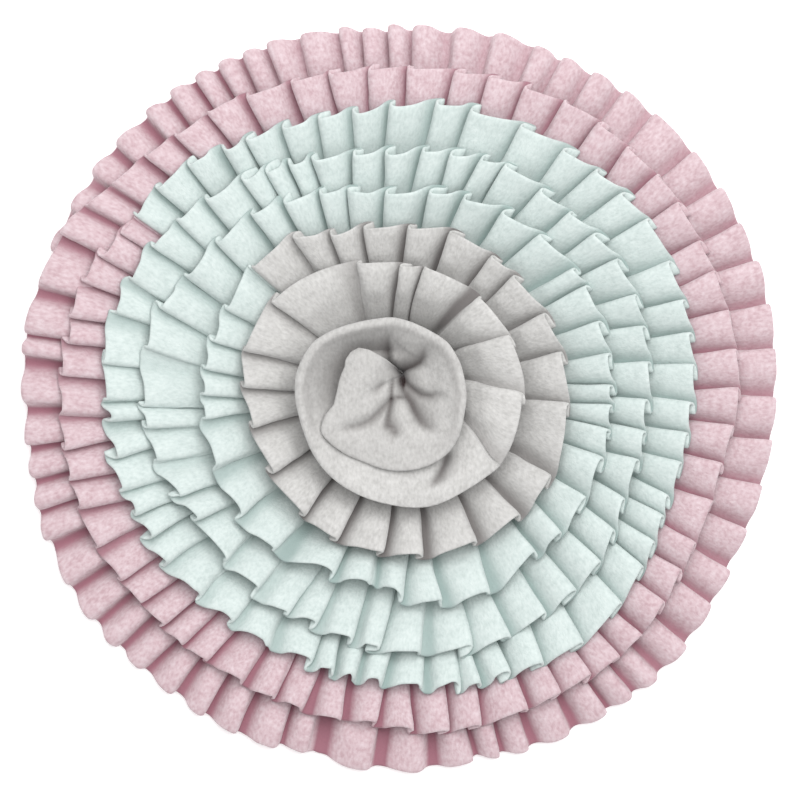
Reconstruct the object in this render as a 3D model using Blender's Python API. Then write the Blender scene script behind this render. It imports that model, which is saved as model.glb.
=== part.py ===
"""Round snuffle mat of fleece: three pleated strips sewn one after the other, in one
inward spiral, on a round ground cloth. The last strip runs out smooth in the middle,
where it stands up as a cup whose inner folds are drawn together at one point.

Frame: metres, +Z up, origin at the centre of the flat underside. Tables are in
millimetres. Clock angles run clockwise from -X, seen from above, and go on growing
from turn to turn: 360 is the end of the first turn.
"""
import math
from bisect import bisect_right
from collections import namedtuple

import bmesh
import bpy
from mathutils import Vector

MM = 0.001

# ---- driving dimensions (mm) ------------------------------------------------------
FLEECE = 2.0                # thickness of the pleated fleece
GROUND_THICKNESS = 2.5      # the plain cloth that every strip is sewn to
GROUND_RADIUS = 158.5
GROUND_SIDES = 96
ROOT_HEIGHT = 5.4           # middle of a strip at its sewn edge
FOLD_TIP = 1.25             # reach of a fold's outer edge, in half thicknesses
DEEPEST_INNER_FOLD = 3.0    # farthest that a fold's inner edge may lie from its middle
FLATTEST_FOLD = 0.7         # a pleat with less relief than this is a gentle wave
LAP_PER_RELIEF = 1.6        # a pleat runs this far under the next one, for each mm of relief,
LAP_START = 1.2             # less this much,
SHORTEST_LAP = 0.15         # and stops short of it by this share of its width at most
END_GAP = 0.5               # between the end of one strip and the start of the next
FACE_FALL = 1.5             # how a pleat's face falls from its crest: 1 is flat, more is rounded
WIDE_FACE = 24.0            # a face has one more row of points for each of these clock degrees

# ---- the spiral ---------------------------------------------------------------------
# How the strips lie. turn: turns of the spiral; root: radius of the sewn edge; reach:
# where the middle of the strip lies, from 0 at the root to 1 at the rim; middle, rim:
# heights of the strip there; root_relief, relief: half height of a pleat at the root
# and at the rim; belly: what is added to that half way up the strip
Lie = namedtuple("Lie", "turn root reach middle rim root_relief relief belly")
LIE = (
    Lie(0.06, 156.0, 0.45, 6.0, 5.2, 0.8, 1.9, 0.0),
    Lie(0.15, 153.0, 0.45, 6.0, 5.2, 1.2, 3.1, 0.0),
    Lie(0.88, 152.0, 0.45, 6.0, 5.2, 1.2, 3.1, 0.0),
    Lie(1.06, 140.0, 0.45, 11.8, 13.4, 1.0, 2.5, 0.0),
    Lie(1.25, 131.5, 0.45, 10.9, 13.4, 1.0, 2.6, 0.0),
    Lie(1.88, 131.5, 0.45, 10.9, 13.6, 1.0, 2.5, 0.0),
    Lie(2.06, 121.0, 0.45, 12.6, 19.0, 1.0, 2.5, 0.0),
    Lie(2.25, 109.5, 0.45, 11.6, 18.2, 1.0, 2.5, 0.0),
    Lie(2.88, 109.5, 0.45, 11.6, 18.4, 1.0, 2.5, 0.0),
    Lie(3.06, 101.0, 0.45, 13.0, 21.0, 1.0, 2.5, 0.0),
    Lie(3.25, 88.5, 0.45, 12.0, 19.8, 1.0, 2.6, 0.0),
    Lie(3.88, 88.5, 0.45, 12.0, 20.0, 1.0, 2.6, 0.0),
    Lie(4.06, 80.0, 0.45, 12.8, 21.6, 1.1, 2.7, 0.0),
    Lie(4.25, 67.0, 0.45, 12.2, 21.0, 1.1, 2.8, 0.0),
    Lie(4.88, 66.0, 0.45, 12.6, 21.4, 1.1, 2.8, 0.0),
    Lie(5.06, 59.0, 0.45, 13.6, 22.4, 1.1, 2.8, 0.0),
    Lie(5.25, 51.0, 0.45, 15.0, 23.6, 1.1, 2.8, 0.0),
    Lie(5.50, 47.0, 0.45, 15.5, 24.0, 1.1, 2.8, 0.0),
    Lie(5.75, 44.0, 0.45, 16.0, 24.4, 1.1, 2.8, 0.0),
    Lie(6.00, 40.0, 0.45, 17.0, 25.2, 1.1, 2.8, 0.0),
    Lie(6.25, 34.0, 0.38, 21.0, 27.5, 1.1, 2.4, 0.0),
    Lie(6.50, 28.0, 0.34, 23.0, 28.0, 1.1, 2.0, 0.0),
    Lie(6.75, 24.0, 0.34, 24.0, 31.0, 1.0, 0.7, 0.3),
    Lie(7.00, 19.0, 0.38, 26.0, 41.0, 0.5, 0.0, 0.2),
    Lie(7.25, 13.0, 0.38, 27.0, 43.0, 0.8, 0.0, 1.8),
    Lie(7.50, 10.0, 0.42, 27.0, 43.0, 0.8, 0.0, 2.2),
    Lie(7.75, 9.0, 0.42, 29.0, 41.0, 0.8, 0.0, 2.2),
    Lie(7.90, 7.5, 0.45, 33.0, 39.0, 0.4, 0.0, 0.4),
    Lie(8.00, 6.0, 0.45, 36.0, 36.0, 0.2, 0.0, 0.3),
    Lie(8.14, 5.0, 0.45, 37.0, 38.5, 0.0, 0.0, 0.0),
)
# Where the spiral's inner turns draw together (x, y), and the turns over which its
# centre moves there from the middle of the mat
PINCH = Vector((1.5, 12.2, 0.0))
SHIFT_START = 5.5
SHIFT_END = 7.25

# The free edge of each strip, section by section. clock: where the section starts;
# rim: radius of the free edge there; pleats: how many fill the section
Section = namedtuple("Section", "clock rim pleats")
PINK_SECTIONS = (
    Section(23.0, 191.0, 1), Section(30.0, 192.0, 3), Section(48.5, 192.5, 2),
    Section(57.7, 191.5, 3), Section(69.5, 190.5, 2), Section(80.5, 188.5, 1),
    Section(84.5, 187.0, 2), Section(92.5, 187.0, 3), Section(110.8, 190.5, 1),
    Section(115.5, 190.5, 3), Section(132.0, 192.5, 1), Section(140.5, 193.5, 3),
    Section(158.5, 193.0, 3), Section(180.0, 189.5, 3), Section(201.0, 187.0, 2),
    Section(214.0, 188.5, 1), Section(221.0, 191.0, 1), Section(227.5, 191.5, 2),
    Section(237.0, 189.5, 1), Section(243.0, 189.5, 1), Section(250.0, 189.0, 1),
    Section(254.5, 187.5, 1), Section(259.0, 186.0, 1), Section(265.5, 187.5, 1),
    Section(274.5, 187.5, 1), Section(284.5, 184.5, 1), Section(290.0, 186.5, 2),
    Section(302.0, 188.5, 1), Section(307.5, 188.0, 2), Section(319.0, 190.5, 1),
    Section(324.5, 191.5, 1), Section(331.0, 192.5, 1), Section(338.0, 192.0, 1),
    Section(343.5, 191.0, 1), Section(348.0, 190.0, 2), Section(359.0, 189.5, 1),
    Section(366.5, 191.0, 1), Section(370.5, 191.5, 1), Section(377.5, 191.0, 1),
    Section(386.0, 189.5, 2), Section(397.5, 179.5, 3),
    Section(416.0, 172.5, 3), Section(438.0, 167.0, 3), Section(459.0, 166.0, 3),
    Section(479.5, 170.0, 4), Section(505.5, 170.5, 5), Section(538.5, 170.0, 2),
    Section(551.5, 165.0, 2), Section(565.5, 165.0, 3), Section(584.5, 170.0, 3),
    Section(601.0, 169.0, 3), Section(622.5, 169.0, 2), Section(634.0, 165.5, 3),
    Section(653.5, 163.5, 2), Section(666.0, 164.5, 3), Section(681.5, 167.0, 3),
    Section(700.0, 171.5, 3), Section(717.0, 170.0, 3), Section(735.0, 170.5, 3),
    Section(750.0, 164.0, 1), Section(754.5, 160.5, 0),
)
MINT_SECTIONS = (
    Section(754.5, 163.0, 2), Section(767.0, 159.0, 2), Section(779.5, 151.5, 3),
    Section(800.0, 146.0, 3), Section(824.0, 150.0, 2), Section(842.5, 150.5, 3),
    Section(864.0, 153.0, 2), Section(880.0, 151.0, 3), Section(900.0, 147.5, 3),
    Section(919.0, 144.5, 3), Section(934.0, 149.0, 2), Section(952.0, 153.5, 2),
    Section(968.0, 149.5, 2), Section(979.5, 149.0, 2), Section(992.0, 144.0, 3),
    Section(1010.0, 142.0, 2), Section(1027.0, 140.5, 2), Section(1045.0, 145.0, 3),
    Section(1062.0, 146.5, 3), Section(1080.0, 149.0, 2), Section(1096.0, 150.0, 2),
    Section(1111.0, 148.0, 1), Section(1118.0, 143.0, 2), Section(1133.0, 135.5, 3),
    Section(1150.0, 129.0, 2), Section(1166.0, 124.5, 2), Section(1181.5, 126.5, 2),
    Section(1194.0, 129.0, 2), Section(1211.0, 126.5, 2), Section(1227.0, 130.5, 3),
    Section(1251.0, 127.0, 2), Section(1267.0, 124.5, 2), Section(1283.5, 124.0, 2),
    Section(1299.0, 130.5, 2), Section(1316.5, 132.0, 2), Section(1334.0, 131.5, 2),
    Section(1354.0, 127.5, 2), Section(1369.0, 122.5, 2), Section(1385.0, 122.5, 2),
    Section(1408.0, 119.5, 2), Section(1424.5, 126.5, 2), Section(1438.0, 129.0, 2),
    Section(1459.5, 130.0, 1), Section(1470.0, 124.0, 1), Section(1479.0, 122.0, 2),
    Section(1500.0, 115.5, 2), Section(1515.0, 109.0, 1), Section(1524.5, 104.0, 1),
    Section(1538.0, 105.5, 2), Section(1557.0, 108.0, 2), Section(1581.5, 110.0, 2),
    Section(1598.0, 109.0, 2), Section(1616.0, 107.5, 3), Section(1635.0, 106.0, 2),
    Section(1658.0, 106.0, 1), Section(1669.0, 104.0, 1), Section(1683.0, 107.5, 1),
    Section(1699.0, 105.0, 1), Section(1708.0, 102.5, 1), Section(1718.5, 94.5, 1),
    Section(1733.0, 95.5, 1), Section(1747.0, 99.0, 1), Section(1765.0, 100.5, 2),
    Section(1795.0, 100.0, 2), Section(1808.0, 99.5, 2), Section(1826.0, 99.0, 1),
    Section(1841.5, 100.0, 0),
)
GREY_SECTIONS = (
    Section(1841.5, 98.5, 1), Section(1856.0, 97.0, 1), Section(1866.0, 90.0, 1),
    Section(1879.0, 88.0, 1), Section(1893.5, 86.5, 1), Section(1906.0, 88.0, 1),
    Section(1923.0, 85.5, 1), Section(1932.5, 85.0, 2), Section(1965.0, 85.0, 1),
    Section(1984.0, 84.5, 1), Section(2006.5, 85.5, 1), Section(2023.0, 85.0, 1),
    Section(2042.0, 82.5, 1), Section(2062.0, 80.5, 1), Section(2075.0, 78.5, 1),
    Section(2092.0, 78.5, 1), Section(2111.0, 76.5, 1), Section(2130.0, 75.0, 1),
    Section(2149.0, 76.0, 2), Section(2175.0, 81.5, 2), Section(2199.0, 80.0, 1),
    Section(2210.0, 77.0, 1), Section(2232.0, 71.0, 1), Section(2248.0, 67.5, 1),
    Section(2262.0, 66.0, 1), Section(2288.0, 63.5, 1), Section(2310.0, 62.0, 1),
    Section(2335.0, 61.0, 1), Section(2371.0, 59.5, 1), Section(2400.0, 56.5, 2),
    Section(2430.0, 54.5, 2), Section(2475.0, 53.5, 2), Section(2520.0, 53.5, 2),
    Section(2565.0, 48.0, 1), Section(2598.0, 43.0, 1), Section(2660.0, 34.5, 1),
    Section(2725.0, 32.5, 1), Section(2757.0, 35.0, 1), Section(2800.0, 37.5, 1),
    Section(2843.0, 41.8, 1), Section(2860.0, 40.0, 1), Section(2880.0, 33.5, 1),
    Section(2930.0, 36.5, 0),
)

PLEATED_LEVELS = (0.0, 0.5, 1.0)        # rows of points across a strip, root to rim
CUP_LEVELS = (0.0, 0.35, 0.7, 1.0)

# ---- colours (linear RGB) and finish ------------------------------------------------
PINK = (0.60, 0.43, 0.47, 1.0)
MINT = (0.68, 0.75, 0.73, 1.0)
GREY = (0.56, 0.55, 0.54, 1.0)
CLOTH_ROUGHNESS = 0.95


def clear_scene():
    """Remove every object that the scene starts with."""
    for obj in list(bpy.data.objects):
        bpy.data.objects.remove(obj, do_unlink=True)


def cloth_material(name, colour):
    """A matt cloth of one colour."""
    material = bpy.data.materials.new(name)
    material.use_nodes = True
    shader = material.node_tree.nodes["Principled BSDF"]
    shader.inputs["Base Color"].default_value = colour
    shader.inputs["Roughness"].default_value = CLOTH_ROUGHNESS
    shader.inputs["Metallic"].default_value = 0.0
    material.diffuse_color = colour
    return material


def add_node(name, bm, material):
    """Turn a mesh into the named object, with its faces pointing out."""
    bmesh.ops.recalc_face_normals(bm, faces=bm.faces)
    mesh = bpy.data.meshes.new(name)
    bm.to_mesh(mesh)
    bm.free()
    mesh.materials.append(material)
    obj = bpy.data.objects.new(name, mesh)
    bpy.context.scene.collection.objects.link(obj)
    return obj


def read_table(table, column, at):
    """One column of a table at any place, along a smooth curve through its rows."""
    keys = [row[0] for row in table]
    values = [getattr(row, column) for row in table]
    last = len(keys) - 1
    i = min(max(bisect_right(keys, at) - 1, 0), last - 1)

    def slope(j):
        if j in (0, last):
            return 0.0
        before = (values[j] - values[j - 1]) / (keys[j] - keys[j - 1])
        after = (values[j + 1] - values[j]) / (keys[j + 1] - keys[j])
        return 2.0 * before * after / (before + after) if before * after > 0.0 else 0.0

    span = keys[i + 1] - keys[i]
    t = min(max((at - keys[i]) / span, 0.0), 1.0)
    start, end = values[i], values[i + 1]
    a, b = slope(i) * span, slope(i + 1) * span
    return (start * (1 + 2 * t) * (1 - t) ** 2 + end * t * t * (3 - 2 * t)
            + a * t * (1 - t) ** 2 - b * t * t * (1 - t))


def direction(clock):
    """Unit vector of a clock angle in the ground plane."""
    angle = math.radians(180.0 - clock)
    return Vector((math.cos(angle), math.sin(angle), 0.0))


def crest_clocks(sections):
    """Clock angle of every pleat's crest, the last one ending the strip."""
    clocks = []
    for here, after in zip(sections, sections[1:]):
        step = (after.clock - here.clock) / here.pleats
        clocks += [here.clock + step * n for n in range(here.pleats)]
    return clocks + [sections[-1].clock]


class Lean:
    """The strip's cross-section at one clock angle: how it leans out from its root."""

    def __init__(self, sections, clock):
        turn = clock / 360.0
        share = min(max((turn - SHIFT_START) / (SHIFT_END - SHIFT_START), 0.0), 1.0)
        outward = direction(clock)
        self.clock = clock
        self.centre = PINCH * share
        self.root = self.centre + outward * read_table(LIE, "root", turn)
        self.root.z = ROOT_HEIGHT
        self.rim = outward * read_table(sections, "rim", clock)
        self.rim.z = read_table(LIE, "rim", turn)
        self.middle = self.root.lerp(self.rim, read_table(LIE, "reach", turn))
        self.middle.z = read_table(LIE, "middle", turn)
        self.reliefs = [read_table(LIE, column, turn)
                        for column in ("root_relief", "relief", "belly")]

    def point(self, level):
        """Place on the curve that passes through root, middle and rim."""
        pull = 2.0 * self.middle - 0.5 * (self.root + self.rim)
        t = level
        return self.root * (1 - t) ** 2 + pull * 2 * t * (1 - t) + self.rim * t * t

    def normal(self, level):
        """Unit normal of the strip, on its upper side."""
        step = 0.02
        across = self.point(min(level + step, 1.0)) - self.point(max(level - step, 0.0))
        return direction(self.clock + 90.0).cross(across).normalized()

    def relief(self, level):
        root, rim, belly = self.reliefs
        return root + (rim - root) * level + belly * 4.0 * level * (1.0 - level)

    def mm_per_degree(self, level):
        """Length along the strip of one degree of the clock."""
        return math.radians((self.point(level) - self.centre * (1.0 - level)).xy.length)


def fold_corner(before, corner, after):
    """Outer and inner edge of a fold at corner, between two neighbours on the strip."""
    back = (before - corner).normalized()
    on = (after - corner).normalized()
    inside = (back + on).normalized()
    sine = abs(inside.x * on.y - inside.y * on.x)
    depth = min(FLEECE / 2.0 / sine, DEEPEST_INNER_FOLD)
    return corner - inside * FLEECE / 2.0 * FOLD_TIP, corner + inside * depth


def section_points(sections, crests, level):
    """The pleated section at one level, as pairs of a top and a bottom point.

    Along the strip each point is (clock, height above the strip's middle surface)."""
    line = []
    for crest, after in zip(crests, crests[1:]):
        lean = Lean(sections, crest)
        relief = lean.relief(level)
        lap = max((LAP_PER_RELIEF * relief - LAP_START) / lean.mm_per_degree(level),
                  -SHORTEST_LAP * (after - crest))
        line.append((crest, relief, "crest"))
        steps = 2 + int((after - crest) // WIDE_FACE)
        for share in (n / steps for n in range(1, steps)):
            height = relief * (1.0 - 2.0 * share ** FACE_FALL)
            line.append((crest + (after - crest) * share, height, "face"))
        if max(lean.reliefs) > FLATTEST_FOLD:
            line.append((after + lap, -relief, "valley"))
    if line[-1][2] == "valley":
        line.pop()
    line.append((crests[-1], -relief, "end"))

    pairs = []
    for i, (clock, height, kind) in enumerate(line):
        scale = Lean(sections, clock).mm_per_degree(level)
        here, back, on = (Vector((line[j][0] * scale, line[j][1]))
                          for j in (i, max(i - 1, 0), min(i + 1, len(line) - 1)))
        if i in (0, len(line) - 1) or kind == "face" or abs(height) < FLATTEST_FOLD:
            along = (on - back).normalized()
            across = Vector((-along.y, along.x)) * FLEECE / 2.0
            top, bottom = here + across, here - across
        else:
            outer, inner = fold_corner(back, here, on)
            top, bottom = (outer, inner) if kind == "crest" else (inner, outer)
        pairs.append([(p.x / scale, p.y) for p in (top, bottom)])
    return pairs


def strip_node(name, sections, levels, material, start_gap, end_gap):
    """One pleated strip: a closed sheet between its top and its bottom surface."""
    crests = crest_clocks(sections)
    crests[0] += math.degrees(start_gap / sections[0].rim)
    crests[-1] -= math.degrees(end_gap / sections[-1].rim)
    bm = bmesh.new()
    grids = ([], [])
    for level in levels:
        pairs = section_points(sections, crests, level)
        for side, grid in enumerate(grids):
            row = []
            for pair in pairs:
                clock, height = pair[side]
                lean = Lean(sections, clock)
                row.append(bm.verts.new((lean.point(level) + lean.normal(level) * height) * MM))
            grid.append(row)
    top, bottom = grids
    columns = len(top[0])
    rows = len(levels)
    for grid in grids:
        for lower, upper in zip(grid, grid[1:]):
            for i in range(columns - 1):
                bm.faces.new((lower[i], lower[i + 1], upper[i + 1], upper[i]))
    for level in (0, rows - 1):
        for i in range(columns - 1):
            bm.faces.new((top[level][i], top[level][i + 1], bottom[level][i + 1], bottom[level][i]))
    for column in (0, columns - 1):
        for level in range(rows - 1):
            bm.faces.new((top[level][column], top[level + 1][column],
                          bottom[level + 1][column], bottom[level][column]))
    bmesh.ops.triangulate(bm, faces=bm.faces)
    return add_node(name, bm, material)


def ground_cloth(material):
    """The round of plain cloth that every strip is sewn to."""
    bm = bmesh.new()
    bmesh.ops.create_cone(bm, cap_ends=True, segments=GROUND_SIDES, depth=GROUND_THICKNESS * MM,
                          radius1=GROUND_RADIUS * MM, radius2=GROUND_RADIUS * MM)
    bmesh.ops.translate(bm, verts=bm.verts, vec=(0.0, 0.0, GROUND_THICKNESS * MM / 2.0))
    return add_node("ground_cloth", bm, material)


def main():
    clear_scene()
    pink = cloth_material("pink_fleece", PINK)
    mint = cloth_material("mint_fleece", MINT)
    grey = cloth_material("grey_fleece", GREY)
    ground_cloth(grey)
    strip_node("pink_strip", PINK_SECTIONS, PLEATED_LEVELS, pink, 0.0, END_GAP)
    strip_node("mint_strip", MINT_SECTIONS, PLEATED_LEVELS, mint, END_GAP, END_GAP)
    strip_node("grey_strip", GREY_SECTIONS, CUP_LEVELS, grey, END_GAP, 0.0)


main()
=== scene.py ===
"""Looks of the round fleece snuffle mat: the pleated strips as soft double-sided cloth,
the cup in the middle with its rolled rim and drawn-in folds, the ground cloth, the
fleece, the light and the camera.

Tables are in millimetres. Clock angles run clockwise from -X, seen from above, and go
on growing from turn to turn: 360 is the end of the spiral's first turn.
"""
import math
from collections import namedtuple

import bpy
import numpy as np
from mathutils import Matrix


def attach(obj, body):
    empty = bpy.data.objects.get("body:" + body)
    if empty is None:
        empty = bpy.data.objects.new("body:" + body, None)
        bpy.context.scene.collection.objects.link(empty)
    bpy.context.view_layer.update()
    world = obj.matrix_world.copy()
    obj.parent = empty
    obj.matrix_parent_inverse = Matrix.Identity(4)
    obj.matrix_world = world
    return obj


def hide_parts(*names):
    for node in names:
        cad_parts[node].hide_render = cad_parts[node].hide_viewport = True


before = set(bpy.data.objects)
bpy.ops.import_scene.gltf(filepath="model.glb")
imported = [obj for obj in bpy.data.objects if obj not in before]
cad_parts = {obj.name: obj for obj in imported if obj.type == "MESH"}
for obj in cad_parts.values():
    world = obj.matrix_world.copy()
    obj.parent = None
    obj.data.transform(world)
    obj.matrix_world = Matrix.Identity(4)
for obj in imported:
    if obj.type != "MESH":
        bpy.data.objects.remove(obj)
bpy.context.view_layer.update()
BODY = "root"

MM = 0.001

# ---- cloth --------------------------------------------------------------------------
FLEECE = 2.0                # thickness of the fleece
STRIP_WIDTH = 45.0          # width over which a strip's pile is laid out
TIGHTEST_INSIDE = 0.85      # share of a bend's radius that its inner face may use up
EDGE_THICKNESS = 0.65       # share of its thickness that the fleece keeps at its cut edge
LIP_REACH = 0.22            # reach of the rounded edge, in thicknesses
GROUND_RADIUS = 158.5
GROUND_FOOT, GROUND_THICKNESS = 0.2, 2.5     # heights of its underside and its upper side
GROUND_EDGE = 0.5           # how far its edge is rounded
END_GAP = 0.5               # between the end of one strip and the start of the next
UNDULATIONS = ((95.0, 0.35), (60.0, 0.3), (38.0, 0.22))     # wavelength and height of each
SEED = 20

# ---- the spiral ---------------------------------------------------------------------
# How the strips lie. turn: turns of the spiral; root: radius of the sewn edge; foot: its
# height; reach: where the middle of the strip lies, from 0 at the root to 1 at the rim;
# middle, rim: heights of the strip there; root_relief, relief: half height of a pleat at
# the root and at the rim; belly: what is added to that half way up the strip
Lie = namedtuple("Lie", "turn root foot reach middle rim root_relief relief belly")
LIE = (
    Lie(0.06, 156.0, 5.4, 0.45, 6.0, 5.2, 0.8, 1.9, 0.0),
    Lie(0.15, 153.0, 5.4, 0.45, 6.0, 5.2, 1.2, 3.1, 0.0),
    Lie(0.88, 152.0, 5.4, 0.45, 6.0, 5.2, 1.2, 3.1, 0.0),
    Lie(1.06, 140.0, 5.4, 0.45, 11.8, 13.4, 1.0, 2.5, 0.0),
    Lie(1.25, 131.5, 5.4, 0.45, 10.9, 13.4, 1.0, 2.6, 0.0),
    Lie(1.88, 131.5, 5.4, 0.45, 10.9, 13.6, 1.0, 2.5, 0.0),
    Lie(2.06, 121.0, 5.4, 0.45, 12.4, 18.6, 1.0, 2.0, 0.0),
    Lie(2.25, 109.5, 5.4, 0.45, 11.6, 18.2, 1.0, 2.5, 0.0),
    Lie(2.88, 109.5, 5.4, 0.45, 11.6, 18.4, 1.0, 2.2, 0.0),
    Lie(3.06, 101.0, 5.4, 0.45, 13.8, 22.0, 0.9, 1.8, 0.0),
    Lie(3.25, 88.5, 5.4, 0.45, 12.0, 19.8, 1.0, 2.6, 0.0),
    Lie(3.88, 88.5, 5.4, 0.45, 12.0, 20.0, 0.9, 2.1, 0.0),
    Lie(4.06, 80.0, 5.4, 0.45, 12.8, 21.6, 0.9, 1.9, 0.0),
    Lie(4.25, 67.0, 5.4, 0.45, 12.2, 21.0, 1.1, 2.8, 0.0),
    Lie(4.88, 66.0, 5.4, 0.45, 12.6, 21.4, 1.0, 2.1, 0.0),
    Lie(5.06, 59.0, 5.4, 0.45, 13.6, 22.4, 0.9, 1.9, 0.0),
    Lie(5.25, 51.0, 5.4, 0.45, 15.0, 23.6, 1.1, 2.8, 0.0),
    Lie(5.50, 47.0, 5.4, 0.45, 15.5, 24.0, 1.1, 2.8, 0.0),
    Lie(5.75, 44.0, 5.4, 0.45, 16.0, 24.4, 1.1, 2.8, 0.0),
    Lie(6.00, 40.0, 5.4, 0.45, 17.0, 25.2, 1.0, 2.1, 0.0),
    Lie(6.25, 34.0, 6.0, 0.38, 21.0, 27.5, 1.1, 2.4, 0.0),
    Lie(6.50, 28.0, 9.0, 0.36, 24.0, 29.5, 1.6, 1.1, 0.3),
    Lie(6.75, 24.0, 14.0, 0.42, 29.5, 31.5, 0.8, 0.5, 0.3),
    Lie(7.00, 14.0, 16.0, 0.36, 28.0, 40.0, 0.5, 0.0, 0.0),
    Lie(7.25, 1.2, 21.0, 0.32, 31.5, 40.0, 0.0, 0.0, 0.0),
    Lie(7.50, 1.0, 22.0, 0.32, 31.5, 39.0, 0.0, 0.0, 0.0),
    Lie(7.70, 1.0, 22.0, 0.24, 31.5, 36.0, 0.0, 0.0, 0.0),
    Lie(7.84, 1.0, 17.0, 0.24, 32.5, 35.0, 0.0, 0.0, 0.0),
    Lie(7.93, 1.0, 13.0, 0.26, 34.0, 39.0, 0.0, 0.0, 0.0),
    Lie(8.00, 1.0, 12.0, 0.28, 35.5, 38.0, 0.0, 0.0, 0.0),
    Lie(8.16, 1.0, 12.0, 0.32, 36.5, 38.0, 0.0, 0.0, 0.0),
)
# Where the spiral's inner turns draw together (x, y), and the turns over which its
# centre moves there from the middle of the mat
PINCH = np.array((1.5, 12.2, 0.0))
SHIFT_START = 5.5
SHIFT_END = 7.25

# The free edge of each strip, section by section. clock: where the section starts;
# rim: radius of the free edge there; pleats: how many fill the section
Section = namedtuple("Section", "clock rim pleats")
PINK_SECTIONS = (
    Section(23.0, 191.0, 1), Section(30.0, 192.0, 3), Section(48.5, 192.5, 2),
    Section(57.7, 191.5, 3), Section(69.5, 190.5, 2), Section(80.5, 188.5, 1),
    Section(84.5, 187.0, 2), Section(92.5, 187.0, 3), Section(110.8, 190.5, 1),
    Section(115.5, 190.5, 3), Section(132.0, 192.5, 1), Section(140.5, 193.5, 3),
    Section(158.5, 193.0, 3), Section(180.0, 189.5, 3), Section(201.0, 187.0, 2),
    Section(214.0, 188.5, 1), Section(221.0, 191.0, 1), Section(227.5, 191.5, 2),
    Section(237.0, 189.5, 1), Section(243.0, 189.5, 1), Section(250.0, 189.0, 1),
    Section(254.5, 187.5, 1), Section(259.0, 186.0, 1), Section(265.5, 187.5, 1),
    Section(274.5, 187.5, 1), Section(284.5, 184.5, 1), Section(290.0, 186.5, 2),
    Section(302.0, 188.5, 1), Section(307.5, 188.0, 2), Section(319.0, 190.5, 1),
    Section(324.5, 191.5, 1), Section(331.0, 192.5, 1), Section(338.0, 192.0, 1),
    Section(343.5, 191.0, 1), Section(348.0, 190.0, 2), Section(359.0, 189.5, 1),
    Section(366.5, 191.0, 1), Section(370.5, 191.5, 1), Section(377.5, 191.0, 1),
    Section(386.0, 189.5, 2), Section(397.5, 179.5, 3),
    Section(416.0, 172.5, 3), Section(438.0, 167.0, 3), Section(459.0, 166.0, 3),
    Section(479.5, 170.0, 4), Section(505.5, 170.5, 5), Section(538.5, 170.0, 2),
    Section(551.5, 165.0, 2), Section(565.5, 165.0, 3), Section(584.5, 170.0, 3),
    Section(601.0, 169.0, 3), Section(622.5, 169.0, 2), Section(634.0, 165.5, 3),
    Section(653.5, 163.5, 2), Section(666.0, 164.5, 3), Section(681.5, 167.0, 3),
    Section(700.0, 171.5, 3), Section(717.0, 170.0, 3), Section(735.0, 170.5, 3),
    Section(750.0, 164.0, 1), Section(754.5, 160.5, 0),
)
MINT_SECTIONS = (
    Section(754.5, 163.0, 2), Section(767.0, 159.0, 2), Section(779.5, 151.5, 3),
    Section(800.0, 146.0, 3), Section(824.0, 150.0, 2), Section(842.5, 150.5, 3),
    Section(864.0, 153.0, 2), Section(880.0, 151.0, 3), Section(900.0, 147.5, 3),
    Section(919.0, 144.5, 3), Section(934.0, 149.0, 2), Section(952.0, 153.5, 2),
    Section(968.0, 149.5, 2), Section(979.5, 149.0, 2), Section(992.0, 144.0, 3),
    Section(1010.0, 142.0, 2), Section(1027.0, 140.5, 2), Section(1045.0, 145.0, 3),
    Section(1062.0, 146.5, 3), Section(1080.0, 149.0, 2), Section(1096.0, 150.0, 2),
    Section(1111.0, 148.0, 1), Section(1118.0, 143.0, 2), Section(1133.0, 135.5, 3),
    Section(1150.0, 129.0, 2), Section(1166.0, 124.5, 2), Section(1181.5, 126.5, 2),
    Section(1194.0, 129.0, 2), Section(1211.0, 126.5, 2), Section(1227.0, 130.5, 3),
    Section(1251.0, 127.0, 2), Section(1267.0, 124.5, 2), Section(1283.5, 124.0, 2),
    Section(1299.0, 130.5, 2), Section(1316.5, 132.0, 2), Section(1334.0, 131.5, 2),
    Section(1354.0, 127.5, 2), Section(1369.0, 122.5, 2), Section(1385.0, 122.5, 2),
    Section(1408.0, 119.5, 2), Section(1424.5, 126.5, 2), Section(1438.0, 129.0, 2),
    Section(1459.5, 130.0, 1), Section(1470.0, 124.0, 1), Section(1479.0, 122.0, 2),
    Section(1500.0, 115.5, 2), Section(1515.0, 109.0, 1), Section(1524.5, 104.0, 1),
    Section(1538.0, 105.5, 2), Section(1557.0, 108.0, 2), Section(1581.5, 110.0, 2),
    Section(1598.0, 109.0, 2), Section(1616.0, 107.5, 3), Section(1635.0, 106.0, 2),
    Section(1658.0, 106.0, 1), Section(1669.0, 104.0, 1), Section(1683.0, 107.5, 1),
    Section(1699.0, 105.0, 1), Section(1708.0, 102.5, 1), Section(1718.5, 94.5, 1),
    Section(1733.0, 95.5, 1), Section(1747.0, 99.0, 1), Section(1765.0, 100.5, 2),
    Section(1795.0, 100.0, 2), Section(1808.0, 99.5, 2), Section(1826.0, 99.0, 1),
    Section(1841.5, 100.0, 0),
)
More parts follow.
